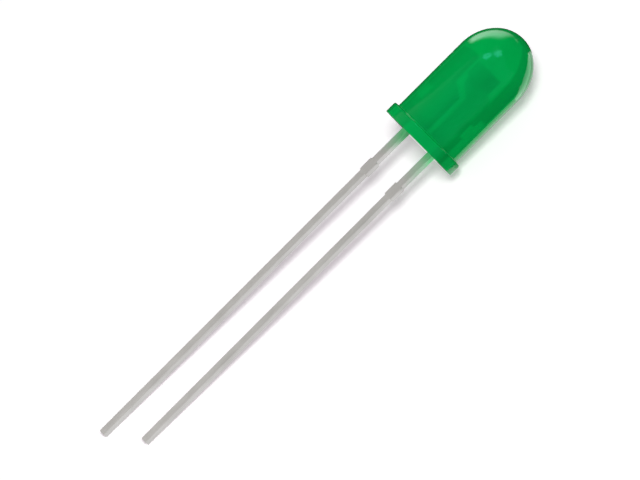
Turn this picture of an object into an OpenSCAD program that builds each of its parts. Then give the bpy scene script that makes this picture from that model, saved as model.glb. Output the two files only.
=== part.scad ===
// Through hole indicator lamp: a tinted resin lens cast round a stamped lead frame.
// Millimetres. Each piece is drawn upright first, with the lens's base face on z = 0, the lens's
// axis on z and the leads hanging below, side by side along y. lying_down() then lays the whole
// lamp on a table, on its flange and its two lead tips, with the dome towards +X.

/* [Lens] */
// Diameter of the straight barrel
body_d = 5.0; // [4.8:0.05:5.1]
// Height of the lens from its base face to the tip of the dome
body_h = 9.1; // [8.6:0.1:9.6]
// Height of the dome above the straight barrel
dome_h = 2.87; // [2.55:0.01:3.1]
// Diameter of the flange round the base
flange_d = 5.6; // [5.45:0.05:6.1]
// Thickness of the flange
flange_t = 0.8; // [0.6:0.05:1.2]
// Radius on the flange's upper edge
flange_round = 0.12; // [0.04:0.02:0.2]
// Radius of the fillet where the barrel meets the flange
root_fillet = 0.06; // [0.02:0.02:0.12]
// Step from the barrel's side out to the flat that marks the cathode
flat_step = 0.08; // [0.02:0.01:0.12]

/* [Leads] */
// Spacing of the two leads, centre to centre
lead_pitch = 2.54; // [2.4:0.02:2.7]
// Width of a lead, across the stamped strip
lead_w = 0.45; // [0.4:0.01:0.5]
// Thickness of the strip that the leads are stamped from
strip_t = 0.45; // [0.38:0.01:0.5]
// Length of the anode lead below the base face
anode_len = 26.3; // [24:0.1:30]
// How much shorter the cathode lead is
cathode_short = 1.5; // [0.8:0.1:2.5]
// Width of the stand-off stub that is left on each lead
stub_w = 0.64; // [0.54:0.02:0.8]
// Length of the stand-off stub along the lead
stub_len = 0.98; // [0.5:0.02:1.4]
// Distance from the base face to the stand-off stub
stub_drop = 2.66; // [1.5:0.02:4]
// Bevel round the end of each lead
tip_bevel = 0.05; // [0.01:0.01:0.1]

/* [Lead frame inside the lens] */
// Height at which each lead widens into its blade
blade_z = 0.8; // [0.5:0.05:1.4]
// Gap between the two blades
blade_gap = 0.5; // [0.3:0.05:0.7]
// Height at which the locking notch in each blade starts
notch_z = 2.1; // [1.7:0.05:2.3]
// Length of the locking notch
notch_len = 1.0; // [0.5:0.05:1.1]
// Depth of the locking notch
notch_depth = 0.3; // [0.1:0.05:0.4]
// Height at which the cathode blade starts to lean in under the cup
arm_z = 4.0; // [3.8:0.05:4.1]
// Height at which the cathode blade's outer shoulder starts
shoulder_z = 4.6; // [4.2:0.05:4.75]
// Width of the neck that carries the cup
neck_w = 0.8; // [0.6:0.05:0.9]
// Gap between the cup and the anode post
post_gap = 0.25; // [0.15:0.05:0.3]
// Height of the anode post above the rim of the cup
post_above_rim = 0.15; // [0:0.05:0.3]
// Bevel on the outer corner of the anode post
post_bevel = 0.2; // [0.05:0.05:0.25]

/* [Reflector cup] */
// Height of the cup's rim above the base face
rim_z = 6.2; // [6:0.05:6.4]
// Outer diameter of the cup
cup_d = 1.24; // [1.2:0.02:1.3]
// Height of the cup's straight outer wall
cup_wall_h = 1.0; // [0.8:0.05:1]
// Diameter of the cup's mouth
mouth_d = 1.02; // [0.9:0.02:1.04]
// Diameter of the cup's floor
floor_d = 0.62; // [0.58:0.02:0.7]
// Depth of the cup
cup_depth = 0.42; // [0.36:0.02:0.5]

/* [Chip] */
// Width of the square chip
chip_w = 0.28; // [0.24:0.01:0.3]
// Height of the chip
chip_h = 0.24; // [0.2:0.01:0.26]
// Thickness of the conductive glue under the chip
glue_t = 0.02; // [0.01:0.005:0.03]
// Height of the glue that climbs the chip's sides
glue_climb = 0.07; // [0.04:0.01:0.09]
// Width of the glue's foot outside the chip
glue_foot = 0.05; // [0.03:0.005:0.06]

/* [Bond wire] */
// Diameter of the gold wire
wire_d = 0.03; // [0.025:0.005:0.04]
// Diameter of the ball on the chip
ball_d = 0.09; // [0.08:0.01:0.12]
// Height of the ball on the chip
ball_h = 0.03; // [0.02:0.005:0.04]
// Straight rise of the wire above the ball
wire_rise = 0.38; // [0.34:0.02:0.5]
// Radius of the wire's bend
wire_bend = 0.12; // [0.08:0.01:0.16]
// Length of the flattened stitch on the anode post
stitch_len = 0.1; // [0.06:0.01:0.12]
// Thickness of the stitch at its thin end
stitch_thin = 0.01; // [0.008:0.002:0.014]

/* [Hidden] */
$fn = 96;

body_r = body_d / 2;
flange_r = flange_d / 2;
barrel_h = body_h - dome_h;
flat_y = body_r + flat_step;
cathode_len = anode_len - cathode_short;
lead_out = (lead_pitch + lead_w) / 2;
lead_in = (lead_pitch - lead_w) / 2;

cup_r = cup_d / 2;
cup_floor_z = rim_z - cup_depth;
cup_base_z = rim_z - cup_wall_h;
neck_r = neck_w / 2;
neck_top_z = (cup_base_z + cup_floor_z) / 2;
post_in = cup_r + post_gap;
post_z = rim_z + post_above_rim;

chip_z = cup_floor_z + glue_t;
chip_top_z = chip_z + chip_h;
wire_r = wire_d / 2;
stitch_y = (post_in + lead_out - post_bevel) / 2;
past = 0.5;

// The lamp rests on the flange's lower edge and on the lowest corner of each lead's end, where
// its bevel starts. The axis sinks by rest_tilt towards the tips, and the lamp rolls by
// rest_roll towards its shorter lead, so that all three points touch the table.
length_slope = cathode_short / lead_pitch;
reach = cathode_len + length_slope * (lead_out - tip_bevel);
spread = pow(reach, 2) + pow(strip_t * length_slope / 2, 2);
tilt_tan = (flange_r * reach
    - sqrt(pow(flange_r * reach, 2) - spread * (pow(flange_r, 2) - pow(strip_t / 2, 2)))) / spread;
rest_tilt = atan(tilt_tan);
rest_roll = asin(length_slope * tilt_tan);

// The lamp's length as it lies, from the dome's foremost point to the anode's tip, puts the
// origin under its middle.
dome_reach = barrel_h * cos(rest_tilt)
    + sqrt(pow(body_r * sin(rest_tilt), 2) + pow(dome_h * cos(rest_tilt), 2));
tip_reach = anode_len * cos(rest_tilt)
    + (strip_t / 2 * cos(rest_roll) + lead_out * sin(rest_roll)) * sin(rest_tilt);
middle_x = (dome_reach - tip_reach) / 2;

module lying_down() {
    translate([-middle_x, 0, flange_r * cos(rest_tilt)])
        rotate([0, 90 - rest_tilt, 0])
            rotate([0, 0, rest_roll])
                children();
}

// A flat stamping of the strip: children are its outline, drawn as y across and z up.
module stamped() {
    rotate([90, 0, 90])
        translate([0, 0, -strip_t / 2])
            linear_extrude(height = strip_t) children();
}

// A block with a square foot and straight sides that lean in to a smaller square top.
module tapered_block(foot_x, foot_y, top_x, top_y, height) {
    intersection() {
        rotate([90, 0, 0])
            translate([0, 0, -foot_y])
                linear_extrude(height = 2 * foot_y)
                    trapezoid(foot_x, top_x, height);
        rotate([90, 0, 90])
            translate([0, 0, -foot_x])
                linear_extrude(height = 2 * foot_x)
                    trapezoid(foot_y, top_y, height);
    }
}

module trapezoid(foot, top, height) {
    polygon([[-foot / 2, 0], [foot / 2, 0], [top / 2, height], [-top / 2, height]]);
}

// ---- Lens ----

module lens_outline() {
    square([body_r, barrel_h]);
    translate([0, barrel_h])
        intersection() {
            scale([1, dome_h / body_r]) circle(r = body_r);
            square([body_r, dome_h]);
        }
    square([flange_r, flange_t - flange_round]);
    square([flange_r - flange_round, flange_t]);
    translate([flange_r - flange_round, flange_t - flange_round]) circle(r = flange_round);
    difference() {
        square([body_r + root_fillet, flange_t + root_fillet]);
        translate([body_r + root_fillet, flange_t + root_fillet]) circle(r = root_fillet);
    }
}

module cathode_flat() {
    translate([-flange_r, -flange_r - past, -past])
        cube([flange_d, flange_r + past - flat_y, flange_t + root_fillet + past]);
}

module lens_form() {
    difference() {
        rotate_extrude() lens_outline();
        cathode_flat();
    }
}

module lens() {
    color([0.01, 0.59, 0.27, 0.85])
        lying_down()
            difference() {
                lens_form();
                cathode_form();
                anode_form();
                chip_form();
                glue_form();
                wire_form();
            }
}

// ---- Leads ----

// One lead below the base face, with its stand-off stub, and its root up to the blade.
module lead_outline(length) {
    polygon([
        [-lead_w / 2, blade_z],
        [-lead_w / 2, tip_bevel - length],
        [tip_bevel - lead_w / 2, -length],
        [lead_w / 2 - tip_bevel, -length],
        [lead_w / 2, tip_bevel - length],
        [lead_w / 2, blade_z]
    ]);
    translate([-stub_w / 2, -stub_drop - stub_len]) square([stub_w, stub_len]);
}

module cathode_blade() {
    polygon([
        [-lead_out, blade_z],
        [-lead_out, notch_z],
        [notch_depth - lead_out, notch_z],
        [notch_depth - lead_out, notch_z + notch_len],
        [-lead_out, notch_z + notch_len],
        [-lead_out, shoulder_z],
        [-neck_r, cup_base_z],
        [-neck_r, neck_top_z],
        [neck_r, neck_top_z],
        [neck_r, arm_z + blade_gap / 2 + neck_r],
        [-blade_gap / 2, arm_z],
        [-blade_gap / 2, blade_z]
    ]);
}

module anode_blade() {
    polygon([
        [lead_out, blade_z],
        [lead_out, notch_z],
        [lead_out - notch_depth, notch_z],
        [lead_out - notch_depth, notch_z + notch_len],
        [lead_out, notch_z + notch_len],
        [lead_out, post_z - post_bevel],
        [lead_out - post_bevel, post_z],
        [post_in, post_z],
        [post_in, arm_z + post_in - blade_gap],
        [blade_gap / 2, arm_z - blade_gap / 2],
        [blade_gap / 2, blade_z]
    ]);
}

// The head is swelled out of the strip in the press, and the cup is punched into its top.
module cup_head() {
    rotate_extrude()
        polygon([
            [0, cup_base_z - (cup_r - strip_t / 2)],
            [strip_t / 2, cup_base_z - (cup_r - strip_t / 2)],
            [cup_r, cup_base_z],
            [cup_r, rim_z],
            [mouth_d / 2, rim_z],
            [floor_d / 2, cup_floor_z],
            [0, cup_floor_z]
        ]);
}

module cathode_form() {
    stamped() {
        translate([-lead_pitch / 2, 0]) lead_outline(cathode_len);
        cathode_blade();
    }
    cup_head();
}

module anode_form() {
    stamped() {
        translate([lead_pitch / 2, 0]) lead_outline(anode_len);
        anode_blade();
    }
}

module cathode_lead() {
    color([0.72, 0.71, 0.7]) lying_down() cathode_form();
}

module anode_lead() {
    color([0.72, 0.71, 0.7]) lying_down() anode_form();
}

// ---- Chip and its glue ----

module chip_form() {
    translate([-chip_w / 2, -chip_w / 2, chip_z]) cube([chip_w, chip_w, chip_h]);
}

module glue_form() {
    foot = chip_w + 2 * glue_foot;
    skin = chip_w + glue_foot / 2;
    difference() {
        translate([0, 0, cup_floor_z]) tapered_block(foot, foot, skin, skin, glue_climb);
        chip_form();
    }
}

module led_chip() {
    color([0.85, 0.75, 0.2]) lying_down() chip_form();
}

module chip_glue() {
    color([0.75, 0.75, 0.77]) lying_down() glue_form();
}

// ---- Bond wire ----

// The wire rises straight from its ball, turns over in one bend and runs in a straight line,
// tangent to the bend, down to its stitch on the anode post.
wire_bend_z = chip_top_z + ball_h + wire_rise;
run_y = stitch_y - wire_bend;
run_z = post_z + wire_r - wire_bend_z;
run_reach = sqrt(pow(run_y, 2) + pow(run_z, 2));
run_len = sqrt(pow(run_reach, 2) - pow(wire_bend, 2));
leave_angle = atan2(run_z, run_y) + acos(wire_bend / run_reach);

module wire_form() {
    translate([0, 0, chip_top_z]) cylinder(d = ball_d, h = ball_h);
    translate([0, 0, chip_top_z + ball_h]) cylinder(r = wire_r, h = wire_rise);
    translate([0, wire_bend, wire_bend_z])
        rotate([90, 0, 90])
            rotate([0, 0, leave_angle])
                rotate_extrude(angle = 180 - leave_angle)
                    translate([wire_bend, 0]) circle(r = wire_r);
    translate([0, wire_bend, wire_bend_z])
        rotate([leave_angle, 0, 0])
            translate([0, wire_bend, 0])
                mirror([0, 0, 1])
                    cylinder(r = wire_r, h = run_len);
    translate([0, stitch_y, post_z])
        rotate([90, 0, 90])
            translate([0, 0, -wire_d])
                linear_extrude(height = 2 * wire_d)
                    polygon([
                        [-wire_d, 0],
                        [stitch_len, 0],
                        [stitch_len, stitch_thin],
                        [wire_d, wire_d],
                        [-wire_d, wire_d]
                    ]);
}

module bond_wire() {
    color([0.9, 0.72, 0.3]) lying_down() wire_form();
}

lens();
cathode_lead();
anode_lead();
led_chip();
chip_glue();
bond_wire();
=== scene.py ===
# %% [markdown]
# # A green 5 mm indicator lamp, lying on a table
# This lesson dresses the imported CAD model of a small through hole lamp. The real lamp is one
# casting of green tinted resin, with a domed front and a flange. It is poured round two stamped
# leads of tinned steel. The shorter lead ends in a small reflector cup that holds the chip, and
# a gold wire joins the chip to the longer lead.
#
# The CAD model says where everything is. Each piece below is a finer form that stands for one of
# its nodes, with finishes that are all built from shader nodes.

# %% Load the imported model
import math

import bmesh
import bpy
from mathutils import Matrix, Vector


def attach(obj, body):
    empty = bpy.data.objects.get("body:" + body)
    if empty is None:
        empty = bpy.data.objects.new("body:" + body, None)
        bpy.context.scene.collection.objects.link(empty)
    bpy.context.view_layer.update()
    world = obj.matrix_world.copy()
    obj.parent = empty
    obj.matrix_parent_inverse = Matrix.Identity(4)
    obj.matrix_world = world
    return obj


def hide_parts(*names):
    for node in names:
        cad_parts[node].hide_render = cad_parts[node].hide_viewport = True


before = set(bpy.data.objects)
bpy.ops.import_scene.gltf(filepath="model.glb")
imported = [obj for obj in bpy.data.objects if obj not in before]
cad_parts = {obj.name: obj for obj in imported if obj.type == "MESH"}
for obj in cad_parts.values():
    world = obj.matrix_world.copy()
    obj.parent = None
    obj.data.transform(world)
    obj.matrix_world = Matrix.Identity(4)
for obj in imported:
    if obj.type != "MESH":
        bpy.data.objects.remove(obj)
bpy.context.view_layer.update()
print("nodes:", ", ".join(sorted(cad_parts)))

# %% [markdown]
# ## Sizes of the lens and the leads
# The lamp is described upright, in millimetres: its base face at height 0, its axis along Z and
# its leads hanging below, the longer one on the +Y side. Blender works in metres, so every mesh
# is scaled by MM when it is laid down. These numbers are the CAD model's own. The sizes of what
# is inside the lens come later, with the bond wire.

# %% Sizes of the lens and the leads
MM = 0.001

BODY_D = 5.0          # barrel of the lens
BODY_H = 9.1          # base face to the tip of the dome
DOME_H = 2.87
FLANGE_D = 5.6
FLANGE_T = 0.8
FLANGE_ROUND = 0.12   # upper edge of the flange
ROOT_FILLET = 0.06    # where the barrel meets the flange
BASE_EDGE = 0.025     # lower edge of the flange
FLAT_STEP = 0.08      # the flat that marks the cathode stands this far outside the barrel

LEAD_PITCH = 2.54
LEAD_W = 0.45
STRIP_T = 0.45
ANODE_LEN = 26.3      # base face to the tip of the longer lead
CATHODE_SHORT = 1.5   # the other lead is this much shorter
TIP_BEVEL = 0.05

BODY_R, FLANGE_R = BODY_D / 2, FLANGE_D / 2
BARREL_H = BODY_H - DOME_H
LEAD_OUT = (LEAD_PITCH + LEAD_W) / 2  # from the axis to the outer side of a lead
print(f"lens {BODY_D} x {BODY_H} mm, leads {ANODE_LEN} and {ANODE_LEN - CATHODE_SHORT} mm")

# %% [markdown]
# ## How the lamp lies
# It rests on three points: the lower edge of its flange and the tips of both leads. That tilts
# its axis a little and, as one lead is shorter, rolls it a little too. A physics simulation
# could let it fall, but the two angles follow from the sizes, so a formula is shorter and exact.
# One matrix then lays down anything that was made upright.

# %% The matrix that lays the lamp down


def resting_matrix():
    """Upright millimetres to lying metres."""
    # the line through the lower corners of both tips slopes, and is this far below the base
    slope = CATHODE_SHORT / LEAD_PITCH
    reach = ANODE_LEN - CATHODE_SHORT + slope * (LEAD_OUT - TIP_BEVEL)
    # the table holds that line, so sin(roll) is slope * tan(tilt), and it touches the flange's
    # edge, which gives a quadratic for tan(tilt)
    spread = reach ** 2 + (STRIP_T * slope / 2) ** 2
    root = (FLANGE_R * reach) ** 2 - spread * (FLANGE_R ** 2 - (STRIP_T / 2) ** 2)
    tilt_tan = (FLANGE_R * reach - math.sqrt(root)) / spread
    tilt, roll = math.atan(tilt_tan), math.asin(slope * tilt_tan)
    # the origin is under the middle of the whole length, from the dome to the longer lead's tip
    dome_reach = BARREL_H * math.cos(tilt) + math.hypot(
        BODY_R * math.sin(tilt), DOME_H * math.cos(tilt))
    tip_reach = ANODE_LEN * math.cos(tilt) + math.sin(tilt) * (
        STRIP_T / 2 * math.cos(roll) + LEAD_OUT * math.sin(roll))
    middle = (dome_reach - tip_reach) / 2
    print(f"axis tilts {math.degrees(tilt):.2f} degrees, lamp rolls {math.degrees(roll):.2f}")
    return (
        Matrix.Scale(MM, 4)
        @ Matrix.Translation((-middle, 0, FLANGE_R * math.cos(tilt)))
        @ Matrix.Rotation(math.pi / 2 - tilt, 4, "Y")
        @ Matrix.Rotation(roll, 4, "Z")
    )


LYING = resting_matrix()
AXIS = (LYING.to_3x3() @ Vector((0, 0, 1))).normalized()
ACROSS = (LYING.to_3x3() @ Vector((0, 1, 0))).normalized()   # towards the longer lead
FACING = (LYING.to_3x3() @ Vector((-1, 0, 0))).normalized()  # up, off the leads' plane
BASE = LYING @ Vector((0, 0, 0))
print("base centre, mm:", [round(v / MM, 3) for v in BASE])

# %% [markdown]
# ## Small helpers
# Node trees are long to write by hand. These few functions add a node, fill its inputs with
# values or with other nodes' sockets, and start a tree with named sockets, so that each tree
# below reads like a recipe.

# %% Helpers: adding nodes


def fill(tree, socket, value):
    """Links value to the socket, or sets it there if it is a plain value."""
    if isinstance(value, bpy.types.NodeSocket):
        tree.links.new(value, socket)
    else:
        socket.default_value = value


def add(tree, kind, *values, **settings):
    """A new node, with values for its inputs in order."""
    made = tree.nodes.new(kind)
    for name, value in settings.items():
        setattr(made, name, value)
    for socket, value in zip([s for s in made.inputs if s.enabled], values):
        fill(tree, socket, value)
    return made


def wired(tree, kind, inputs, **settings):
    """A new node, with values for its inputs by name."""
    made = add(tree, kind, **settings)
    for name, value in inputs.items():
        fill(tree, made.inputs[name], value)
    return made


def new_tree(name, kind, inputs, outputs):
    """An empty tree, what it is given and what it puts out. A socket is (name, kind), or
    (name, kind, value) where it starts with a value."""
    tree = bpy.data.node_groups.new(name, kind)
    for in_out, sockets in (("INPUT", inputs), ("OUTPUT", outputs)):
        for title, socket_kind, *value in sockets:
            made = tree.interface.new_socket(name=title, in_out=in_out, socket_type=socket_kind)
            if value:
                made.default_value = value[0]
    return tree, add(tree, "NodeGroupInput").outputs, add(tree, "NodeGroupOutput").inputs


FLOAT, INT, VECTOR = "NodeSocketFloat", "NodeSocketInt", "NodeSocketVector"
GEOMETRY, MATERIAL = "NodeSocketGeometry", "NodeSocketMaterial"

# %% Helpers: small sums


def math_of(tree, operation, *values):
    return add(tree, "ShaderNodeMath", *values, operation=operation).outputs[0]


def vector_of(tree, x, y, z):
    return add(tree, "ShaderNodeCombineXYZ", x, y, z).outputs[0]


def dot_of(tree, vector, direction):
    return add(tree, "ShaderNodeVectorMath", vector, tuple(direction),
               operation="DOT_PRODUCT").outputs["Value"]


def ranged(tree, value, low, high, out_low, out_high, **settings):
    """Carries value from the range low..high to out_low..out_high."""
    return add(tree, "ShaderNodeMapRange", value, low, high, out_low, out_high,
               **settings).outputs[0]


MIX_FACTOR, MIX_A, MIX_B, MIX_RESULT = 0, 6, 7, 2  # a Mix node's sockets for colours


def mixed(tree, factor, low, high):
    """A colour between low and high."""
    made = add(tree, "ShaderNodeMix", data_type="RGBA")
    for index, value in ((MIX_FACTOR, factor), (MIX_A, low), (MIX_B, high)):
        fill(tree, made.inputs[index], value)
    return made.outputs[MIX_RESULT]

# %% [markdown]
# ## Shared shader groups
# Two effects are used by more than one finish, so each is a node group. *Lamp Place* turns
# Object coordinates back into the lamp's own upright millimetres, so that a finish can ask how
# far down a lead it is. *Mottle* is soft cloudy noise that can be stretched along the lamp, for
# cloudiness in resin and for drawn grain on metal. The groups put out only vectors and masks.

# %% Group: Lamp Place


def lamp_place_group():
    tree, given, result = new_tree("Lamp Place", "ShaderNodeTree", [("Object", VECTOR)],
                                   [("Upright", VECTOR), ("Height", FLOAT)])
    off = add(tree, "ShaderNodeVectorMath", given["Object"], tuple(BASE), operation="SUBTRACT")
    in_mm = wired(tree, "ShaderNodeVectorMath", {"Vector": off.outputs[0], "Scale": 1 / MM},
                  operation="SCALE")
    parts = [dot_of(tree, in_mm.outputs[0], d) for d in (-FACING, ACROSS, AXIS)]
    tree.links.new(vector_of(tree, *parts), result["Upright"])
    tree.links.new(parts[2], result["Height"])
    return tree


LAMP_PLACE = lamp_place_group()
print("group:", LAMP_PLACE.name)

# %% Group: Mottle


def mottle_group():
    tree, given, result = new_tree(
        "Mottle", "ShaderNodeTree",
        [("Upright", VECTOR), ("Scale", FLOAT, 1.0), ("Stretch", FLOAT, 1.0),
         ("Detail", FLOAT, 3.0), ("Low", FLOAT, 0.35), ("High", FLOAT, 0.65)],
        [("Mask", FLOAT)])
    squeeze = vector_of(tree, 1.0, 1.0, math_of(tree, "DIVIDE", 1.0, given["Stretch"]))
    drawn = add(tree, "ShaderNodeVectorMath", given["Upright"], squeeze, operation="MULTIPLY")
    noise = wired(tree, "ShaderNodeTexNoise", {
        "Vector": drawn.outputs[0], "Scale": given["Scale"], "Detail": given["Detail"]})
    mask = ranged(tree, noise.outputs[0], given["Low"], given["High"], 0.0, 1.0)
    tree.links.new(mask, result["Mask"])
    return tree


MOTTLE = mottle_group()
print("group:", MOTTLE.name)

# %% [markdown]
# ## Starting a finish
# Every finish of the lamp starts in the same way: a new material with one Principled shader,
# and the *Lamp Place* group beside it. *mottled* then places a *Mottle* group where one is
# needed.

# %% Helpers: starting a finish


def new_material(name):
    """A material and its tree."""
    material = bpy.data.materials.new(name)
    material.use_nodes = True
    return material, material.node_tree


def new_finish(name):
    """A material, its tree, its shader's inputs, and its place on the lamp."""
    material, tree = new_material(name)
    here = add(tree, "ShaderNodeTexCoord").outputs["Object"]
    place = wired(tree, "ShaderNodeGroup", {"Object": here}, node_tree=LAMP_PLACE)
    return material, tree, tree.nodes["Principled BSDF"].inputs, place.outputs


def mottled(tree, place, scale, low, high, stretch=1.0, detail=2.0):
    """A cloudy mask: noise under low gives 0, and over high it gives 1."""
    return wired(tree, "ShaderNodeGroup", {
        "Upright": place["Upright"], "Scale": scale, "Stretch": stretch, "Detail": detail,
        "Low": low, "High": high}, node_tree=MOTTLE).outputs["Mask"]

# %% [markdown]
# ## Green resin
# The lens is cast from epoxy with a green dye and a little diffuser. Light that enters is
# scattered and comes out evenly green, and the lead frame inside only just shows. A clear glass
# would look too black and a plain plastic too dead, so the shader is a mix: mostly a saturated
# body colour, with a share of transmission at a resin's refractive index. The colour varies by
# a few percent, as the diffuser never spreads quite evenly. The mould is polished, but not in
# the tight corner between barrel and flange, so the resin is a little matt there.

# %% Finish: green resin
GREEN_DEEP, GREEN_PALE = (0.0004, 0.372, 0.068, 1), (0.0006, 0.396, 0.076, 1)
GLOSS_BEST, GLOSS_WORST = 0.06, 0.085  # roughness that the polished mould leaves
CORNER_MATT = 0.4     # roughness that is added in the corner
CORNER_REACH = 0.08   # how far from the barrel the corner goes
CORNER_BLUR = 0.01


def in_root_corner(tree, place):
    """1 in the corner between the barrel and the flange, 0 elsewhere."""
    here = add(tree, "ShaderNodeSeparateXYZ", place["Upright"]).outputs
    from_axis = math_of(tree, "SQRT", math_of(
        tree, "ADD", *(math_of(tree, "POWER", here[side], 2.0) for side in "XY")))
    edge = BODY_R + CORNER_REACH
    beside = math_of(
        tree, "MULTIPLY", ranged(tree, from_axis, BODY_R, BODY_R + CORNER_BLUR, 0.0, 1.0),
        ranged(tree, from_axis, edge, edge + 2 * CORNER_BLUR, 1.0, 0.0))
    above = ranged(tree, here["Z"], FLANGE_T - CORNER_BLUR, FLANGE_T, 0.0, 1.0)
    return math_of(tree, "MULTIPLY", beside, above)


def green_resin():
    material, tree, look, place = new_finish("green_resin")
    cloud = mottled(tree, place, scale=0.45, low=0.3, high=0.7, stretch=1.6)
    fill(tree, look["Base Color"], mixed(tree, cloud, GREEN_DEEP, GREEN_PALE))
    smudge = mottled(tree, place, scale=1.3, low=0.4, high=0.75, detail=4.0)
    polished = ranged(tree, smudge, 0.0, 1.0, GLOSS_BEST, GLOSS_WORST)
    rough = math_of(tree, "MULTIPLY_ADD", in_root_corner(tree, place), CORNER_MATT, polished)
    fill(tree, look["Roughness"], rough)
    fill(tree, look["IOR"], 1.5)
    fill(tree, look["Transmission Weight"], 0.42)
    fill(tree, look["Specular IOR Level"], 0.5)
    fill(tree, look["Specular Tint"], (0.02, 0.25, 0.22, 1))
    return material


RESIN = green_resin()
print("finish:", RESIN.name)

# %% [markdown]
# ## Tinned steel
# The leads are stamped from one strip and then tinned. Their two rolled faces are painted a
# little darker and their two sheared edges brighter: painted shade and painted light for how
# each side meets the lamps. Rolling and drawing leave fine lines along it, and tin dulls
# unevenly, so faint blotches go over all of it. Just under the lens a thin film of green resin
# has run down each lead, strong at the base and gone after about 2.5 mm. Inside the resin the
# strip was never tinned, so it is bare and dull there, and its sheared edges are painted nearly
# black as painted shade. Each kind of face could have a material of its own, but masks made from
# a face's direction and from its height do the same in one.

# %% Tinned steel: the green film near the lens
FILM_GREEN = (0.118, 0.51, 0.21, 1)
FILM_FOOT, FILM_TOP = -2.4, -0.3  # heights where it has gone and where it is full
FILM_FALL = 1.6                   # it thins faster than in proportion
FILM_WANDER = 0.35                # how far its uneven edge goes up and down
FILM_LEAN = 0.1                   # it reaches a little further down the shorter lead


def film_mask(tree, place, blotch):
    """1 at the base face, thinning to 0 down the lead."""
    wander = ranged(tree, blotch, 0.0, 1.0, -FILM_WANDER, FILM_WANDER)
    side = add(tree, "ShaderNodeSeparateXYZ", place["Upright"]).outputs["Y"]
    height = math_of(tree, "MULTIPLY_ADD", side, -FILM_LEAN, place["Height"])
    level = math_of(tree, "ADD", height, wander)
    return math_of(tree, "POWER", ranged(tree, level, FILM_FOOT, FILM_TOP, 0.0, 1.0), FILM_FALL)

# %% Tinned steel: the metal's colour, with painted light and shade on its faces
# painted shade on the broad rolled faces, painted light on the sheared edges
ROLLED_SHADED, SHEARED_LIT = (0.495, 0.48, 0.458, 1), (0.60, 0.59, 0.575, 1)
DULL_SPOT, BRIGHT_LINE = (0.30, 0.285, 0.265, 1), (0.78, 0.77, 0.755, 1)
DULL_MOST, BRIGHT_MOST = 0.22, 0.16   # the most that either takes over
# bare metal inside the resin: dull on the rolled faces, and painted shade, nearly black, on the
# sheared edges
BARE_ROLLED, BARE_EDGE_SHADE = (0.34, 0.33, 0.32, 1), (0.05, 0.048, 0.045, 1)
BURIED_OVER = 0.05                    # the tin ends within this height over the base face
EDGE_FROM, EDGE_FULL = 0.6, 0.8       # how far a face has to turn sideways to be a sheared one


def metal_colour(tree, place, grain, blotch):
    normal = add(tree, "ShaderNodeNewGeometry").outputs["Normal"]
    sideways = math_of(tree, "ABSOLUTE", dot_of(tree, normal, ACROSS))
    # picks the sheared edges by their direction, for painted light outside the resin and painted
    # shade inside it
    edge_shading = ranged(tree, sideways, EDGE_FROM, EDGE_FULL, 0.0, 1.0)
    metal = mixed(tree, edge_shading, ROLLED_SHADED, SHEARED_LIT)
    dulled = mixed(tree, ranged(tree, blotch, 0.0, 1.0, 0.0, DULL_MOST), metal, DULL_SPOT)
    drawn = mixed(tree, ranged(tree, grain, 0.0, 1.0, 0.0, BRIGHT_MOST), dulled, BRIGHT_LINE)
    filmed = mixed(tree, film_mask(tree, place, blotch), drawn, FILM_GREEN)
    buried = ranged(tree, place["Height"], 0.0, BURIED_OVER, 0.0, 1.0)
    # inside the resin: bare dull metal, with painted shade on the sheared edges
    return mixed(tree, buried, filmed, mixed(tree, edge_shading, BARE_ROLLED, BARE_EDGE_SHADE))

# %% Finish: tinned steel
ROUGH_LEAST, ROUGH_MOST = 0.30, 0.42    # from bright tin to a dull blotch
LINES_LEAST, LINES_MOST = -0.04, 0.06   # what the drawn lines take away or add
GRAIN_DEPTH = 0.004                     # mm, of those lines


def tinned_steel():
    material, tree, look, place = new_finish("tinned_steel")
    grain = mottled(tree, place, scale=22.0, low=0.3, high=0.7, stretch=28.0, detail=4.0)
    blotch = mottled(tree, place, scale=1.6, low=0.35, high=0.7, stretch=2.5, detail=5.0)
    fill(tree, look["Base Color"], metal_colour(tree, place, grain, blotch))
    rough = math_of(tree, "ADD", ranged(tree, blotch, 0.0, 1.0, ROUGH_LEAST, ROUGH_MOST),
                    ranged(tree, grain, 0.0, 1.0, LINES_LEAST, LINES_MOST))
    fill(tree, look["Roughness"], rough)
    bump = wired(tree, "ShaderNodeBump", {
        "Strength": 0.25, "Distance": GRAIN_DEPTH * MM, "Height": grain})
    fill(tree, look["Normal"], bump.outputs["Normal"])
    fill(tree, look["Metallic"], 1.0)
    return material


TIN = tinned_steel()
print("finish:", TIN.name)

# %% [markdown]
# ## Chip, glue and gold wire
# The chip is a tiny cube of semiconductor, sawn from a wafer, so its sides are matt and its top
# is smooth. The glue under it is epoxy filled with silver flakes, part metal and part plastic.
# The wire is drawn gold. All three are hardly seen through the resin, so one mask is enough
# for each: it moves the colour and the roughness together.

# %% Finishes inside the lens
TOP_FROM, TOP_FULL = 0.7, 0.9   # how far a face has to turn up the axis to be the chip's top


def two_toned(tree, look, mask, tones, roughness):
    """Moves the colour and the roughness by one mask, each from a first value to a second."""
    fill(tree, look["Base Color"], mixed(tree, mask, *tones))
    fill(tree, look["Roughness"], ranged(tree, mask, 0.0, 1.0, *roughness))


def chip_crystal():
    material, tree, look, place = new_finish("chip_crystal")
    normal = add(tree, "ShaderNodeNewGeometry").outputs["Normal"]
    top = ranged(tree, dot_of(tree, normal, AXIS), TOP_FROM, TOP_FULL, 0.0, 1.0)
    two_toned(tree, look, top, tones=((0.42, 0.36, 0.10, 1), (0.62, 0.55, 0.18, 1)),
              roughness=(0.55, 0.18))
    return material


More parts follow.
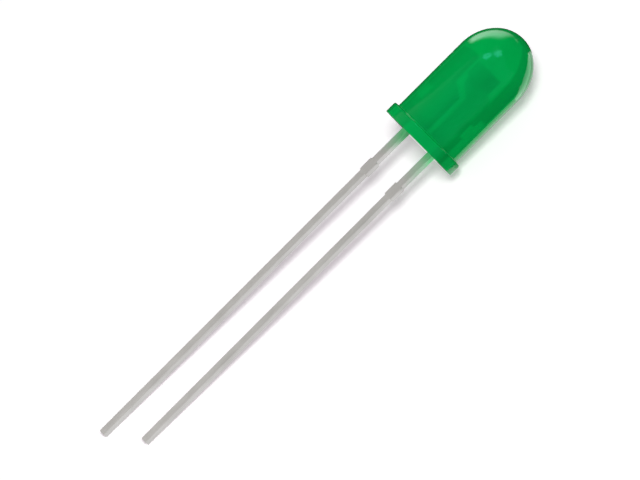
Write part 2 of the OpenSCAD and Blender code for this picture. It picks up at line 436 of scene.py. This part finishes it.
def silver_glue():
    material, tree, look, place = new_finish("silver_glue")
    flakes = mottled(tree, place, scale=90.0, low=0.45, high=0.6)
    two_toned(tree, look, flakes, tones=((0.42, 0.42, 0.43, 1), (0.72, 0.72, 0.73, 1)),
              roughness=(0.7, 0.4))
    fill(tree, look["Metallic"], 0.6)
    return material


def gold():
    material, tree, look, place = new_finish("gold_wire")
    grain = mottled(tree, place, scale=60.0, low=0.3, high=0.7)
    two_toned(tree, look, grain, tones=((0.78, 0.50, 0.16, 1), (0.92, 0.66, 0.26, 1)),
              roughness=(0.18, 0.3))
    fill(tree, look["Metallic"], 1.0)
    return material


CHIP_FINISH, GLUE_FINISH, GOLD = chip_crystal(), silver_glue(), gold()
print("finishes:", CHIP_FINISH.name, GLUE_FINISH.name, GOLD.name)

# %% [markdown]
# ## Geometry Nodes helpers
# Two forms here follow a rule: the lens is a half outline turned round an axis, and the bond
# wire is a round section that follows a path. Both start from a few corner points joined by
# lines, whose corners are then rounded. *corner_line* makes that: a Mesh Line gives one vertex
# for each corner, an Index Switch puts it in its place, and Fillet Curve rounds it.

# %% Helpers: lines with rounded corners


def index_switch(tree, kind, values):
    """One value for each vertex, by its index."""
    made = add(tree, "GeometryNodeIndexSwitch", data_type=kind)
    while len(made.index_switch_items) < len(values):
        made.index_switch_items.new()
    tree.links.new(add(tree, "GeometryNodeInputIndex").outputs[0], made.inputs["Index"])
    for socket, value in zip([s for s in made.inputs if s.name.isdigit()], values):
        fill(tree, socket, value)
    return made.outputs[0]


def corner_line(tree, corners, steps):
    """A curve through corners, each (x, y, fillet radius) in the XY plane."""
    line = add(tree, "GeometryNodeMeshLine", len(corners))
    points = [vector_of(tree, x, y, 0.0) for x, y, _ in corners]
    placed_points = wired(tree, "GeometryNodeSetPosition", {
        "Geometry": line.outputs[0], "Position": index_switch(tree, "VECTOR", points)})
    curve = add(tree, "GeometryNodeMeshToCurve", placed_points.outputs[0])
    radii = index_switch(tree, "FLOAT", [radius for _, _, radius in corners])
    return wired(tree, "GeometryNodeFilletCurve", {
        "Curve": curve.outputs[0], "Count": steps, "Radius": radii}, mode="POLY").outputs[0]

# %% Helpers: turning, and the last nodes of a tree
TURNING_RADIUS = 1.0  # any ring will do, as the outline is shifted by the same amount


def turned(tree, outline, segments):
    """Turns an outline (x from the axis, y up the axis) round Z, as a lathe does."""
    ring = wired(tree, "GeometryNodeCurvePrimitiveCircle", {
        "Resolution": segments, "Radius": TURNING_RADIUS})
    shifted = wired(tree, "GeometryNodeTransform", {
        "Geometry": outline, "Translation": (-TURNING_RADIUS, 0, 0)})
    flipped = wired(tree, "GeometryNodeTransform", {
        "Geometry": shifted.outputs[0], "Scale": (1, -1, 1)})
    return wired(tree, "GeometryNodeCurveToMesh", {
        "Curve": ring.outputs[0], "Profile Curve": flipped.outputs[0]}).outputs[0]


def finished(tree, form, material, result):
    """Gives the form its material and makes it real, as the tree's result."""
    painted = wired(tree, "GeometryNodeSetMaterial", {"Geometry": form, "Material": material})
    real = add(tree, "GeometryNodeRealizeInstances", painted.outputs[0])
    tree.links.new(real.outputs[0], result["Geometry"])
    return tree

# %% Helpers: from a tree to a piece
WELD = 0.0004  # mm: points that are closer than this become one


def placed(name, data):
    """A new object in the scene."""
    made = bpy.data.objects.new(name, data)
    bpy.context.scene.collection.objects.link(made)
    return made


def built(name, tree, inputs):
    """Runs a tree on an empty object, keeps the result as a plain mesh, and lays it down."""
    holder = placed(name + "_maker", bpy.data.meshes.new(name + "_maker"))
    modifier = holder.modifiers.new("Form", "NODES")
    modifier.node_group = tree
    for item in tree.interface.items_tree:
        if item.item_type == "SOCKET" and item.in_out == "INPUT" and item.name in inputs:
            modifier[item.identifier] = inputs[item.name]
    graph = bpy.context.evaluated_depsgraph_get()
    mesh = bpy.data.meshes.new_from_object(holder.evaluated_get(graph), depsgraph=graph)
    bpy.data.objects.remove(holder)
    mesh.transform(LYING)
    mesh.name = name
    return placed(name, mesh)


def outward(piece):
    """Merges doubles, points the faces outwards and prints what was made."""
    form = bmesh.new()
    form.from_mesh(piece.data)
    bmesh.ops.remove_doubles(form, verts=form.verts, dist=WELD * MM)
    if form.calc_volume(signed=True) < 0:
        bmesh.ops.reverse_faces(form, faces=form.faces)
    open_edges = sum(not e.is_manifold for e in form.edges)
    volume = form.calc_volume() / MM ** 3
    form.to_mesh(piece.data)
    form.free()
    print(f"{piece.name}: {len(piece.data.polygons)} faces, {volume:.4f} mm3, "
          f"{open_edges} open edges")
    return piece

# %% [markdown]
# ## The lens
# The real lens takes its form from a round mould cup, and only the cathode flat breaks the
# round. It could be the CAD mesh with smooth shading, but the long thin triangles of that mesh
# would show in its gloss. Here it is turned on a lathe of nodes, in even bands. Its half outline
# has a corner for each edge of the base, flange and barrel. Extra points stand close to the
# rounded corners: they keep the smooth shading of a curve from leaking into the flat or straight
# face beside it. The dome is a quarter of an ellipse. A box then cuts the flat off the flange.

# %% Tree: the lens's outline
CORNER_STEPS = 8        # points on each rounded corner
KEEPER_SHARE = 1.15     # an extra point stands this many radii from its corner,
KEEPER_GAP = 0.012      # and this much further
BARREL_KEEPER = 0.05    # from the top of the barrel to the extra point below it
DOME_STEPS = 49


def barrel_outline(tree, size, barrel, flange, top):
    """Base, flange and barrel, from the axis outwards and up."""
    thick = size["Flange Thickness"]

    def beside(value, sign, margin):
        return math_of(tree, "MULTIPLY_ADD", margin, float(sign), value)

    base_keep, round_keep, fillet_keep = (
        math_of(tree, "MULTIPLY_ADD", size[name], KEEPER_SHARE, KEEPER_GAP)
        for name in ("Base Edge", "Flange Round", "Root Fillet"))
    return corner_line(tree, [
        (0.0, 0.0, 0.0),
        (beside(flange, -1, base_keep), 0.0, 0.0),
        (flange, 0.0, size["Base Edge"]),
        (flange, base_keep, 0.0),
        (flange, beside(thick, -1, round_keep), 0.0),
        (flange, thick, size["Flange Round"]),
        (beside(flange, -1, round_keep), thick, 0.0),
        (beside(barrel, 1, fillet_keep), thick, 0.0),
        (barrel, thick, size["Root Fillet"]),
        (barrel, beside(thick, 1, fillet_keep), 0.0),
        (barrel, beside(top, -1, BARREL_KEEPER), 0.0),
        (barrel, top, 0.0),
    ], CORNER_STEPS)


def dome_outline(tree, size, barrel, top):
    """A quarter of an ellipse, from the top of the barrel to the tip."""
    quarter = wired(tree, "GeometryNodeCurveArc", {
        "Resolution": DOME_STEPS, "Radius": 1.0, "Start Angle": 0.0,
        "Sweep Angle": math.pi / 2})
    return wired(tree, "GeometryNodeTransform", {
        "Geometry": quarter.outputs[0], "Translation": vector_of(tree, 0.0, top, 0.0),
        "Scale": vector_of(tree, barrel, size["Dome Height"], 1.0)}).outputs[0]

# %% Tree: the cathode flat and the crisp edges
CUTTER = (8.0, 2.0, 3.0)          # a box that reaches past the flange on every side
SHARP_ABOVE = math.radians(32)    # edges that turn more than this stay crisp


def with_flat(tree, size, shell, barrel):
    """Cuts the flat off the flange, on the shorter lead's side."""
    box = add(tree, "GeometryNodeMeshCube", CUTTER)
    out = math_of(tree, "ADD", barrel, math_of(tree, "ADD", size["Flat Step"], CUTTER[1] / 2))
    cutter = wired(tree, "GeometryNodeTransform", {
        "Geometry": box.outputs[0],
        "Translation": vector_of(tree, 0.0, math_of(tree, "MULTIPLY", out, -1.0), 0.0)})
    return wired(tree, "GeometryNodeMeshBoolean", {
        "Mesh 1": shell, "Mesh 2": cutter.outputs[0]},
        operation="DIFFERENCE", solver="EXACT").outputs[0]


def creased(tree, form):
    """Smooth shading, with the sharp edges kept crisp."""
    smooth = add(tree, "GeometryNodeSetShadeSmooth", form)
    angle = add(tree, "GeometryNodeInputMeshEdgeAngle").outputs[0]
    soft = add(tree, "FunctionNodeCompare", angle, SHARP_ABOVE, operation="LESS_THAN",
               data_type="FLOAT")
    return wired(tree, "GeometryNodeSetShadeSmooth", {
        "Geometry": smooth.outputs[0], "Shade Smooth": soft.outputs[0]},
        domain="EDGE").outputs[0]

# %% Tree: the whole lens
SEAM_WELD = 0.0005  # mm: the barrel and the dome meet within this


def lens_tree():
    lengths = ("Barrel Diameter", "Lens Height", "Dome Height", "Flange Diameter",
               "Flange Thickness", "Flange Round", "Root Fillet", "Base Edge", "Flat Step")
    tree, size, result = new_tree(
        "Lens Form", "GeometryNodeTree",
        [("Geometry", GEOMETRY), *((name, FLOAT) for name in lengths), ("Segments", INT),
         ("Resin", MATERIAL)], [("Geometry", GEOMETRY)])
    barrel, flange = (math_of(tree, "DIVIDE", size[name], 2.0)
                      for name in ("Barrel Diameter", "Flange Diameter"))
    top = math_of(tree, "SUBTRACT", size["Lens Height"], size["Dome Height"])
    halves = add(tree, "GeometryNodeJoinGeometry")
    for outline in (barrel_outline(tree, size, barrel, flange, top),
                    dome_outline(tree, size, barrel, top)):
        tree.links.new(turned(tree, outline, size["Segments"]), halves.inputs[0])
    shell = wired(tree, "GeometryNodeMergeByDistance", {
        "Geometry": halves.outputs[0], "Distance": SEAM_WELD})
    form = with_flat(tree, size, shell.outputs[0], barrel)
    return finished(tree, creased(tree, form), size["Resin"], result)

# %% Make the lens
LENS_SEGMENTS = 160

lens = outward(built("lens_casting", lens_tree(), {
    "Barrel Diameter": BODY_D, "Lens Height": BODY_H, "Dome Height": DOME_H,
    "Flange Diameter": FLANGE_D, "Flange Thickness": FLANGE_T,
    "Flange Round": FLANGE_ROUND, "Root Fillet": ROOT_FILLET, "Base Edge": BASE_EDGE,
    "Flat Step": FLAT_STEP, "Segments": LENS_SEGMENTS, "Resin": RESIN,
}))
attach(lens, "root")
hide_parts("lens")
PIECES = [lens]

# %% [markdown]
# ## The leads
# The CAD forms of the two leads are right, but every edge of theirs is perfectly sharp, and a
# stamped and tinned edge catches a thin line of light. They could be modelled again, but a copy
# of each CAD mesh is enough: its loose triangles are merged, its flat faces are joined, and a
# small Bevel modifier softens the edges. A Weighted Normal modifier then keeps the shading of
# the broad faces flat. Without it the rounded edge would drag long dark streaks over them.

# %% Helpers: copies of CAD forms with soft edges
SAME_PLANE = math.radians(0.5)     # faces within this angle are joined into one
EDGE_ABOVE = math.radians(30)      # sharper edges than this are softened
EDGE_STEPS = 2
FLAT_WEIGHT = 100                  # the broad faces alone set the shading


def tidy_copy(node, name):
    """A closed copy of a CAD node's mesh, with its flat faces in one piece each."""
    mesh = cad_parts[node].data.copy()
    mesh.name = name
    form = bmesh.new()
    form.from_mesh(mesh)
    bmesh.ops.remove_doubles(form, verts=form.verts, dist=WELD * MM)
    bmesh.ops.dissolve_limit(form, angle_limit=SAME_PLANE, verts=form.verts, edges=form.edges)
    for face in form.faces:
        face.smooth = True
    open_edges = sum(not e.is_manifold for e in form.edges)
    form.to_mesh(mesh)
    form.free()
    mesh.materials.clear()
    print(f"{name}: {len(mesh.polygons)} faces, {open_edges} open edges")
    return placed(name, mesh)


def soften(piece, width):
    """Softens the edges by width (mm) and keeps the flat faces flat."""
    bevel = piece.modifiers.new("Soft edges", "BEVEL")
    bevel.width = width * MM
    bevel.segments = EDGE_STEPS
    bevel.limit_method = "ANGLE"
    bevel.angle_limit = EDGE_ABOVE
    flats = piece.modifiers.new("True flats", "WEIGHTED_NORMAL")
    flats.mode = "FACE_AREA"
    flats.weight = FLAT_WEIGHT

# %% Make the leads
LEAD_EDGE = 0.025

for node in ("cathode_lead", "anode_lead"):
    lead = tidy_copy(node, node + "_tinned")
    lead.data.materials.append(TIN)
    soften(lead, LEAD_EDGE)
    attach(lead, "root")
    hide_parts(node)
    PIECES.append(lead)

# %% [markdown]
# ## The chip and its glue
# Both are a fraction of a millimetre wide, deep inside the resin. The saw leaves the chip
# nearly sharp, and the glue has crept a little way up its sides. The CAD forms already show
# that, so they are kept, with the same softening as the leads, but much smaller.

# %% Make the chip and the glue
CHIP_EDGE = 0.004

for node, finish, slot in (("led_chip", CHIP_FINISH, "chip"),
                           ("chip_glue", GLUE_FINISH, "silver_glue")):
    piece = tidy_copy(node, node + "_finished")
    piece.data.materials.append(finish)
    soften(piece, CHIP_EDGE)
    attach(piece, "root")
    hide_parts(node)
    PIECES.append(piece)

# %% [markdown]
# ## The bond wire
# A bonding machine melts a ball on the end of the gold wire and presses it on the chip, rises,
# turns over and smears the far end on the post as a flat stitch. A curve object with a bevel
# could draw it, but the ball and the stitch would still be missing. A tree makes all three: the
# path is three corners with one rounded bend, and a round section follows it. The ball is a
# squashed sphere, and the stitch is a wedge.

# %% Sizes inside the lens
RIM_Z = 6.2             # rim of the reflector cup
CUP_D = 1.24
CUP_DEPTH = 0.42
POST_GAP = 0.25         # from the cup to the post of the longer lead
POST_ABOVE_RIM = 0.15
POST_BEVEL = 0.2
CHIP_H = 0.24
GLUE_T = 0.02

WIRE_D = 0.03
WIRE_RISE = 0.38        # from the ball to the start of the bend
WIRE_BEND = 0.12
BALL_D = 0.09
BALL_H = 0.03           # from the chip to where the wire leaves the ball
STITCH_LEN = 0.1

CHIP_TOP = RIM_Z - CUP_DEPTH + GLUE_T + CHIP_H
POST_TOP = RIM_Z + POST_ABOVE_RIM
print(f"the wire runs from {CHIP_TOP:.2f} to {POST_TOP:.2f} mm over the base face")

# %% The wire's path


def wire_path():
    """The ball's top, the corner of the bend and the stitch, as (y, z)."""
    start = CHIP_TOP + BALL_H
    post_in = CUP_D / 2 + POST_GAP
    stitch_y = (post_in + LEAD_OUT - POST_BEVEL) / 2
    stitch_z = POST_TOP + WIRE_D / 2
    bend_z = start + WIRE_RISE
    run_y, run_z = stitch_y - WIRE_BEND, stitch_z - bend_z
    reach = math.hypot(run_y, run_z)
    leave = math.atan2(run_z, run_y) + math.acos(WIRE_BEND / reach)
    # the straight run leaves the bend here, and its line meets the riser's at the corner
    off_y = WIRE_BEND + WIRE_BEND * math.cos(leave)
    off_z = bend_z + WIRE_BEND * math.sin(leave)
    slope = (stitch_z - off_z) / (stitch_y - off_y)
    return (0.0, start), (0.0, off_z - slope * off_y), (stitch_y, stitch_z)


BALL_END, BEND_CORNER, STITCH_END = wire_path()
print("corners of the path, mm:", [tuple(round(v, 3) for v in corner)
                                   for corner in (BALL_END, BEND_CORNER, STITCH_END)])

# %% Tree: the wire, its ball and its stitch
WIRE_STEPS = 14                        # points round the wire, and along its bend
BALL_SEGMENTS, BALL_RINGS = 24, 12
BALL_TALL = 1.6                        # height of the whole ball, as a share of BALL_H
STITCH_TIP, STITCH_LIFT = 0.008, 0.012
HALF_DIAGONAL = 0.7071                 # of the square wedge's foot, as a share of its side


def wire_tube(tree, size):
    run = corner_line(tree, [(*BALL_END, 0.0), (*BEND_CORNER, size["Bend Radius"]),
                             (*STITCH_END, 0.0)], WIRE_STEPS)
    section = wired(tree, "GeometryNodeCurvePrimitiveCircle", {
        "Resolution": WIRE_STEPS,
        "Radius": math_of(tree, "DIVIDE", size["Wire Diameter"], 2.0)})
    return wired(tree, "GeometryNodeCurveToMesh", {
        "Curve": run, "Profile Curve": section.outputs[0], "Fill Caps": True}).outputs[0]


def pressed_ball(tree, size):
    ball = add(tree, "GeometryNodeMeshUVSphere", BALL_SEGMENTS, BALL_RINGS, 0.5)
    tall = math_of(tree, "MULTIPLY", size["Ball Height"], BALL_TALL)
    middle = math_of(tree, "MULTIPLY_ADD", size["Ball Height"], BALL_TALL / 2, CHIP_TOP)
    return wired(tree, "GeometryNodeTransform", {
        "Geometry": ball.outputs[0], "Translation": vector_of(tree, 0.0, middle, 0.0),
        "Scale": vector_of(tree, size["Ball Diameter"], tall, size["Ball Diameter"]),
    }).outputs[0]


def smeared_stitch(tree, size):
    wedge = wired(tree, "GeometryNodeMeshCone", {
        "Vertices": 4, "Side Segments": 1, "Radius Top": STITCH_TIP,
        "Radius Bottom": HALF_DIAGONAL * WIRE_D, "Depth": size["Stitch Length"]})
    y, z = STITCH_END
    return wired(tree, "GeometryNodeTransform", {
        "Geometry": wedge.outputs[0], "Rotation": (0.0, math.pi / 2, 0.0),
        "Translation": (y, z - WIRE_D / 2 + STITCH_LIFT, 0.0)}).outputs[0]

# %% Tree: the whole bond wire


def wire_tree():
    lengths = ("Wire Diameter", "Bend Radius", "Ball Diameter", "Ball Height", "Stitch Length")
    tree, size, result = new_tree(
        "Bond Wire", "GeometryNodeTree",
        [("Geometry", GEOMETRY), *((name, FLOAT) for name in lengths), ("Gold", MATERIAL)],
        [("Geometry", GEOMETRY)])
    parts = add(tree, "GeometryNodeJoinGeometry")
    for part in (wire_tube, pressed_ball, smeared_stitch):
        tree.links.new(part(tree, size), parts.inputs[0])
    # the parts were drawn in the XY plane: stand them up in the lamp's YZ plane
    stood = wired(tree, "GeometryNodeTransform", {
        "Geometry": parts.outputs[0], "Rotation": (math.pi / 2, 0.0, math.pi / 2)})
    smooth = add(tree, "GeometryNodeSetShadeSmooth", stood.outputs[0])
    return finished(tree, smooth.outputs[0], size["Gold"], result)

# %% Make the bond wire
wire = outward(built("bond_wire_gold", wire_tree(), {
    "Wire Diameter": WIRE_D, "Bend Radius": WIRE_BEND, "Ball Diameter": BALL_D,
    "Ball Height": BALL_H, "Stitch Length": STITCH_LEN, "Gold": GOLD,
}))
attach(wire, "root")
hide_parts("bond_wire")
PIECES.append(wire)

# %% [markdown]
# ## Floor
# The table is plain white. More light would turn it white too, but it would also bleach the
# lamp, so the table gets a little glow of its own instead, for camera and transmission rays.
# Glossy and diffuse rays find it plain white, so that the metal and the resin mirror and
# gather clean light. The lamp's soft shadow stays, because the glow is only added to it. Near
# the lamp the glow is a touch rose, which makes up for the green that the lens throws there.

# %% Helpers: who looks, and where
ROSE_X, ROSE_Y = 18.0, 4.0   # mm: half the length and half the width of the rose patch
ROSE_FADE = 12.0             # mm: its soft border


def seen_rays(tree):
    """1 for camera, glossy and transmission rays, 0 for the rest."""
    rays = add(tree, "ShaderNodeLightPath").outputs
    first = math_of(tree, "MAXIMUM", rays["Is Camera Ray"], rays["Is Glossy Ray"])
    return math_of(tree, "MAXIMUM", first, rays["Is Transmission Ray"])


def near_lamp(tree):
    """1 in a rectangle round the lamp, fading to 0 outside it."""
    here = add(tree, "ShaderNodeTexCoord").outputs["Object"]
    place = add(tree, "ShaderNodeSeparateXYZ", here).outputs
    past_end, past_side = (
        math_of(tree, "MAXIMUM", math_of(
            tree, "SUBTRACT", math_of(tree, "ABSOLUTE", place[axis]), reach * MM), 0.0)
        for axis, reach in (("X", ROSE_X), ("Y", ROSE_Y)))
    past = math_of(tree, "ADD", past_end, past_side)
    return ranged(tree, past, 0.0, ROSE_FADE * MM, 1.0, 0.0)

# %% Finish: white table
WHITE = (1.0, 1.0, 1.0, 1)
TABLE_WHITE = (0.95, 0.95, 0.95, 1)
FLOOR_GLOW = 0.29
GLOW_PLAIN, GLOW_ROSE = (1.08, 1.08, 1.08, 1), (1.14, 0.985, 1.1, 1)


def white_table():
    material, tree = new_material("white_table")
    paper = tree.nodes["Principled BSDF"]
    fill(tree, paper.inputs["Base Color"], TABLE_WHITE)
    fill(tree, paper.inputs["Roughness"], 0.9)
    fill(tree, paper.inputs["Specular IOR Level"], 0.0)
    fill(tree, paper.inputs["Emission Color"],
         mixed(tree, near_lamp(tree), GLOW_PLAIN, GLOW_ROSE))
    fill(tree, paper.inputs["Emission Strength"],
         math_of(tree, "MULTIPLY", seen_rays(tree), FLOOR_GLOW))
    plain = add(tree, "ShaderNodeEmission", WHITE, 1.0)
    rays = add(tree, "ShaderNodeLightPath").outputs
    even = math_of(tree, "MAXIMUM", rays["Is Glossy Ray"], rays["Is Diffuse Ray"])
    seen = add(tree, "ShaderNodeMixShader", even, paper.outputs[0], plain.outputs[0])
    tree.links.new(seen.outputs[0], tree.nodes["Material Output"].inputs["Surface"])
    return material

# %% Lay the table
TABLE_SIZE = 3.0         # metres
TABLE_DROP = 0.00001     # metres: the lamp's lowest points just clear it

bpy.ops.mesh.primitive_plane_add(size=TABLE_SIZE, location=(0, 0, -TABLE_DROP))
table_top = bpy.context.object
table_top.name = "table_top"
table_top.data.materials.append(white_table())
print("table:", TABLE_SIZE, "m square")

# %% [markdown]
# ## World
# The world is the soft light of a white room. It lights the lamp weakly and evenly, but rays
# that look at it, straight, in a mirror or through the resin, find it fully white.

# %% World
WORLD_LIGHT = 0.24

world = bpy.data.worlds.new("studio")
bpy.context.scene.world = world
world.use_nodes = True
sky = world.node_tree
background = sky.nodes["Background"]
fill(sky, background.inputs["Color"], WHITE)
fill(sky, background.inputs["Strength"],
     ranged(sky, seen_rays(sky), 0.0, 1.0, WORLD_LIGHT, 1.0))
print("world light:", WORLD_LIGHT)

# %% [markdown]
# ## Lamps
# The key lamp stands beside the camera. It lights all sides that are in view evenly and casts a
# short soft shadow, but is not mirrored. Four weaker fills light the lamp's other sides. Light
# linking keeps them to the pieces, so that they don't wash out the shadow on the table. Two
# small lamps over the dome shine on the lens alone, and it mirrors them as a pair of soft spots.

# %% Helpers: lamps


def soft_lamp(name, towards, away, size, radiance):
    """A square area lamp that shines on the dome from a direction, of a given brightness."""
    data = bpy.data.lights.new(name, "AREA")
    data.shape = "RECTANGLE"
    data.size = data.size_y = size
    data.energy = radiance * math.pi * size * size
    made = placed(name, data)
    direction = Vector(towards).normalized()
    made.location = BASE + AXIS * BARREL_H * MM + direction * away
    made.rotation_mode = "QUATERNION"
    made.rotation_quaternion = direction.to_track_quat("Z", "Y")
    made.visible_camera = made.visible_transmission = False
    return made


def lit_by(name, pieces):
    """A collection for light linking."""
    group = bpy.data.collections.new(name)
    for piece in pieces:
        group.objects.link(piece)
    return group

# %% Hang the lamps
LAMP_AWAY, SPOT_AWAY = 0.5, 0.3                     # metres from the dome
KEY_SIZE, FILL_SIZE, SPOT_SIZE = 0.12, 0.14, 0.09   # metres
KEY_RADIANCE, SPOT_RADIANCE = 34.0, 9.5

key = soft_lamp("key", (0.0, -0.42, 0.91), LAMP_AWAY, KEY_SIZE, KEY_RADIANCE)
key.visible_glossy = False

lit_by_fills = lit_by("lit_by_fills", PIECES)
for name, towards, radiance in (("fill_left", (-0.08, 0.80, 0.60), 25.0),
                                ("fill_right", (0.06, -0.96, 0.26), 5.0),
                                ("fill_end", (0.95, -0.05, 0.25), 13.0),
                                ("fill_base", (-0.95, -0.10, 0.30), 10.0)):
    lamp = soft_lamp(name, towards, LAMP_AWAY, FILL_SIZE, radiance)
    lamp.visible_glossy = False
    lamp.light_linking.receiver_collection = lit_by_fills

lit_by_spots = lit_by("lit_by_spots", [lens])
for name, towards in (("soft_spot_a", (0.23, 0.06, 0.97)),
                      ("soft_spot_b", (0.55, -0.15, 0.82))):
    lamp = soft_lamp(name, towards, SPOT_AWAY, SPOT_SIZE, SPOT_RADIANCE)
    lamp.visible_diffuse = False
    lamp.light_linking.receiver_collection = lit_by_spots

# %% [markdown]
# ## The low panel
# A glossy dome shows its round form best when it mirrors a white card as a pale arc. This one
# stands behind the dome. It glows softly from its foot up, fades out towards its top and its
# sides, and is seen by reflections alone, so it gives the lamp no other light.

# %% Helpers: glowing cards


def shine(tree, strength):
    """Makes a material a white glow."""
    glow = add(tree, "ShaderNodeEmission", WHITE, strength)
    tree.links.new(glow.outputs[0], tree.nodes["Material Output"].inputs["Surface"])


def glowing_card(name, corners):
    """A flat card from its corners (mm), and the tree for its glow."""
    mesh = bpy.data.meshes.new(name)
    mesh.from_pydata([Vector(c) * MM for c in corners], [], [tuple(range(len(corners)))])
    made = placed(name, mesh)
    made.visible_camera = made.visible_diffuse = made.visible_shadow = False
    material, tree = new_material(name)
    mesh.materials.append(material)
    return made, tree

# %% Stand the low panel
PANEL_FROM, PANEL_TO = (17, 28), (32, 6)   # mm: the ends of its foot on the table
PANEL_TALL = 60
PANEL_GLOW = 5.0
FOOT_GLOW = 0.3                            # share of the glow at its foot
BRIGHT_TO, DARK_FROM = 9.0, 16.0           # mm up: full until here, black from here
SIDES_FADE = 0.6                           # share of its half width where the fading starts


def low_panel():
    foot_a, foot_b = Vector((*PANEL_FROM, 0)), Vector((*PANEL_TO, 0))
    half = (foot_b - foot_a).length / 2
    panel, tree = glowing_card("low_panel", [
        (-half, 0, 0), (half, 0, 0), (half, 0, PANEL_TALL), (-half, 0, PANEL_TALL)])
    panel.location = (foot_a + foot_b) / 2 * MM
    panel.rotation_euler = (0, 0, math.atan2(foot_b.y - foot_a.y, foot_b.x - foot_a.x))
    panel.visible_transmission = False
    here = add(tree, "ShaderNodeTexCoord").outputs["Object"]
    place = add(tree, "ShaderNodeSeparateXYZ", here).outputs
    aside, height = math_of(tree, "ABSOLUTE", place["X"]), place["Z"]
    sides = ranged(tree, aside, half * MM * SIDES_FADE, half * MM, 1.0, 0.0,
                   interpolation_type="SMOOTHSTEP")
    climb = ranged(tree, height, 0.0, BRIGHT_TO * MM, FOOT_GLOW, 1.0)
    fade = ranged(tree, height, BRIGHT_TO * MM, DARK_FROM * MM, 1.0, 0.0,
                  interpolation_type="SMOOTHSTEP")
    shine(tree, math_of(tree, "MULTIPLY", math_of(tree, "MULTIPLY", sides, climb),
                        math_of(tree, "MULTIPLY", fade, PANEL_GLOW)))
    print(f"panel: {2 * half:.1f} mm wide")


low_panel()

# %% [markdown]
# ## Cards
# Clear and tinted plastic has hardly an outline of its own: its edges show what lies round it.
# So cards lie and stand round the lamp, as beside glass in a studio. Real cards would also
# shade the table, but each of these is seen by one kind of ray alone, so the table stays clean.
# The dark cards are for reflections, and keep the edges of the resin green. Between them the
# grey and the bright ones draw a pale line along its lower side. The last three are seen only
# through the resin: a dark one behind the dome, and two bright ones beyond it.

# %% Helpers: cards for one kind of ray
LIFT = 0.02    # mm: a lying card clears the table by this


def card(name, corners, tone, kind="glossy"):
    """A flat card, from its corners in mm, that only one kind of ray can see."""
    made, tree = glowing_card(name, corners)
    shine(tree, tone)
    made.visible_volume_scatter = False
    made.visible_glossy = kind == "glossy"
    made.visible_transmission = kind == "transmission"


def lying(*corners):
    return [(x, y, LIFT) for x, y in corners]


def standing(foot_a, foot_b, height):
    return [(*foot_a, 0), (*foot_b, 0), (*foot_b, height), (*foot_a, height)]

# %% Lay the cards that the resin mirrors
DARK, GREY, PALE, BRIGHT = 0.01, 0.5, 1.6, 2.4   # where plain white is 1
FRONT = 8.3        # they start beside the flange, so that the leads mirror plain white
ROUND_DOME = ((16.7, -5.0), (19, -5.4), (21.1, -4.4), (22.5, -2.6), (22.3, -0.6))
FLANGE_END = 9.6   # the flange's own bright card ends here

card("card_far", lying((FRONT, 3), (15, 3), (18, 1.2), (20.3, 0.5), ROUND_DOME[-1], (60, -0.6),
                       (60, 5), (32, 6), PANEL_FROM, (17, 60), (FRONT, 60)), DARK)
card("card_standing", standing((6, 60), (22, 60), 140), DARK)
card("card_end", standing((50, -60), (50, 14), 40), DARK)
card("card_near", lying((FRONT, -3.68), (FLANGE_END, -3.68), (FLANGE_END, -3.35), (15, -3.5),
                        *ROUND_DOME, (60, -0.6), (60, -60), (FRONT, -60)), DARK)
card("card_under", lying((FRONT, -1.7), (FRONT, 0), (15, 0), (18, -0.5), (15, -1.7)), GREY)
card("card_window", lying((15, -2.3), (15, -3.3), *ROUND_DOME, (20.8, -0.3), (19.8, -1.8),
                          (17.5, -2.7)), BRIGHT)
card("card_window_flange", lying((FRONT, -2.0), (FLANGE_END, -2.0), (FLANGE_END, -3.68),
                                 (FRONT, -3.68)), PALE)
card("card_beside", standing((10.5, 6), (15.3, 6), 12), DARK)

# %% Lay the cards that are seen through the resin
BLACK, BACK_LIGHT, FLOOR_LIGHT = 0.0, 2.0, 1.7

card("card_bright_back", standing((8, 60), (60, 60), 60), BACK_LIGHT, "transmission")
card("card_bright_floor", lying((8, 13.2), (60, 13.2), (60, 60), (8, 60)), FLOOR_LIGHT,
     "transmission")
card("card_behind", lying((12.6, 2.7), (15.5, 3.1), (60, 3.5), (60, 13), (15.5, 12),
                          (12.6, 8.5)), BLACK, "transmission")

# %% [markdown]
# ## Camera
# The camera looks down on the lamp from the cathode's side, square to its axis, and is turned
# so that the axis climbs to the upper right. It stands far off with a long lens, as for a
# catalogue picture, so that nearer things look hardly bigger than farther ones.

# %% Aim the camera
VIEW_OFF_FACING = math.radians(32.5)  # from the leads' plane, towards the cathode
VIEW_WIDTH = 39.2638                  # mm across the view, at the lamp
AIM_RIGHT, AIM_UP = -6.031, -5.926    # mm, from the base's centre to the middle of the view
CAMERA_AWAY = 1.2                     # metres
SENSOR = 36.0
NEAREST, FARTHEST = 0.01, 10.0        # metres: what the camera sees lies between these

look_from = FACING * math.cos(VIEW_OFF_FACING) - ACROSS * math.sin(VIEW_OFF_FACING)
lower = AXIS.cross(look_from).normalized()     # towards the lower right of the view
right, up = (AXIS + lower).normalized(), (AXIS - lower).normalized()
centre = BASE + (right * AIM_RIGHT + up * AIM_UP) * MM

camera = placed("camera", bpy.data.cameras.new("camera"))
camera.data.sensor_width = SENSOR
camera.data.lens = SENSOR * CAMERA_AWAY / (VIEW_WIDTH * MM)
camera.data.clip_start, camera.data.clip_end = NEAREST, FARTHEST
turn = Matrix((right, up, look_from)).transposed().to_4x4()
camera.matrix_world = Matrix.Translation(centre + look_from * CAMERA_AWAY) @ turn
bpy.context.scene.camera = camera
bpy.context.scene.view_settings.view_transform = "Standard"
print("camera lens:", round(camera.data.lens, 1), "mm")
